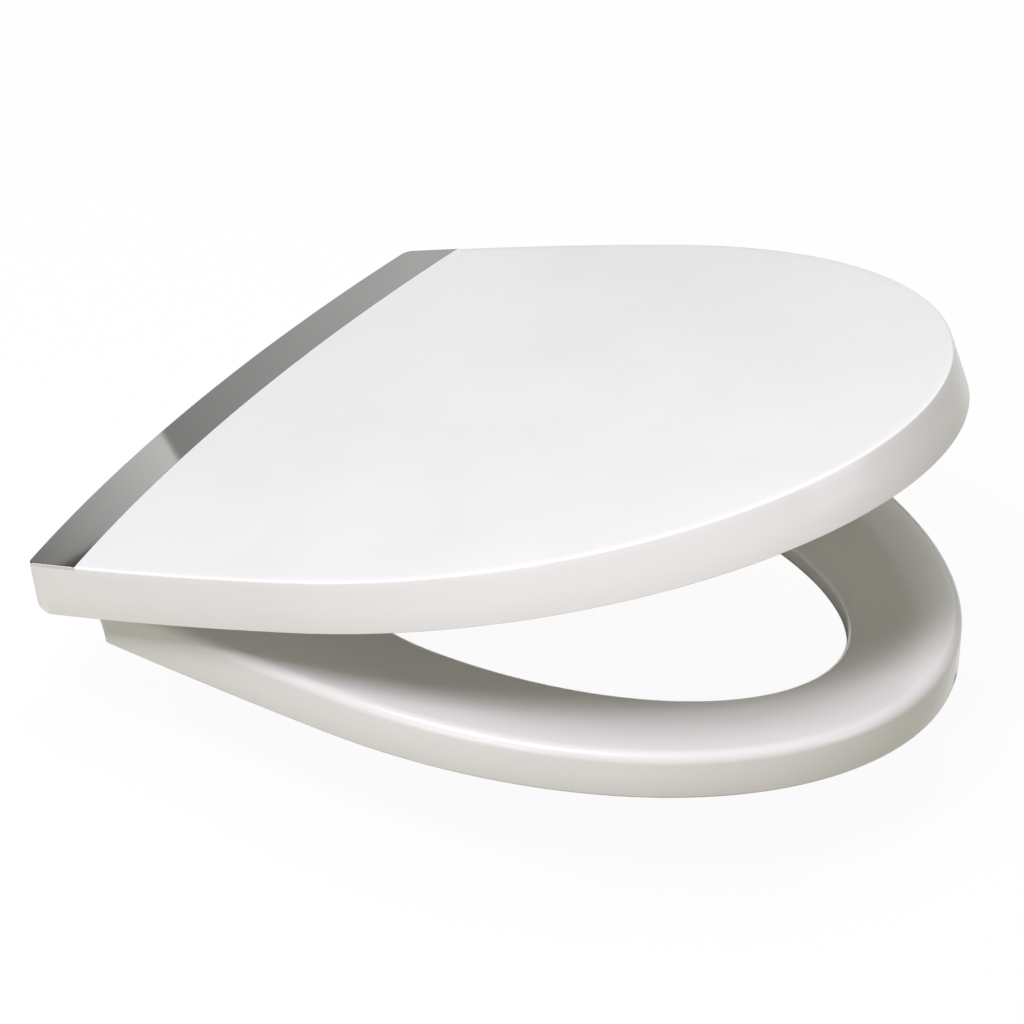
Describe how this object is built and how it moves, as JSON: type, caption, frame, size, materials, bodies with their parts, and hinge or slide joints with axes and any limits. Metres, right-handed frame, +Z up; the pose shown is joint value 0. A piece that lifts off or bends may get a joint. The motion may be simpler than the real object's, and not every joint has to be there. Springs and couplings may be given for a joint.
{
  "type": "toilet seat",
  "caption": "Toilet seat with a flat wrap-over lid standing part open, a metal strip along its rear edge, a dished ring with an oval hole, and hinges bolted to the bowl.",
  "frame": {"origin": "midway between the two fixing bolts, on top of the bowl", "axes": "+X across the seat, +Y to the rear, +Z up away from the bowl"},
  "size_m": [0.3704, 0.426, 0.2362],
  "materials": {
    "white_moulding": "gloss",
    "strip_steel": "satin",
    "cast_metal": "satin",
    "steel": "bright",
    "nylon": "matt",
    "grey_rubber": "matt"
  },
  "bodies": {
    "hinge": {"hinge_post_left": "cast_metal", "hinge_post_right": "cast_metal", "pivot_pin_left": "steel", "pivot_pin_right": "steel", "pin_clips": "steel", "sealing_pad_left": "grey_rubber", "sealing_pad_right": "grey_rubber", "fixing_bolts": "steel", "clamp_washers": "grey_rubber", "flat_washers": "steel", "wing_nut_left": "nylon", "wing_nut_right": "nylon"},
    "ring": {"seat_ring": "white_moulding", "ring_bracket_left": "cast_metal", "ring_bracket_right": "cast_metal", "ring_bush_left": "nylon", "ring_bush_right": "nylon", "ring_screws": "steel", "ring_buffer_front_left": "grey_rubber", "ring_buffer_front_right": "grey_rubber", "ring_buffer_rear_left": "grey_rubber", "ring_buffer_rear_right": "grey_rubber"},
    "lid": {"lid": "white_moulding", "hinge_strip": "strip_steel", "lid_bracket_left": "cast_metal", "lid_bracket_right": "cast_metal", "lid_bush_left": "nylon", "lid_bush_right": "nylon", "lid_screws": "steel", "lid_buffer_left": "grey_rubber", "lid_buffer_right": "grey_rubber"}
  },
  "joints": [
    {"name": "ring_hinge", "type": "hinge", "parent": "hinge", "child": "ring", "pos_m": [0, 0.024, 0.0252], "axis": [-1, 0, 0], "range_deg": [0, 95]},
    {"name": "lid_hinge", "type": "hinge", "parent": "ring", "child": "lid", "pos_m": [0, 0.024, 0.0252], "axis": [-1, 0, 0], "range_deg": [-19.2, 75.7]}
  ]
}
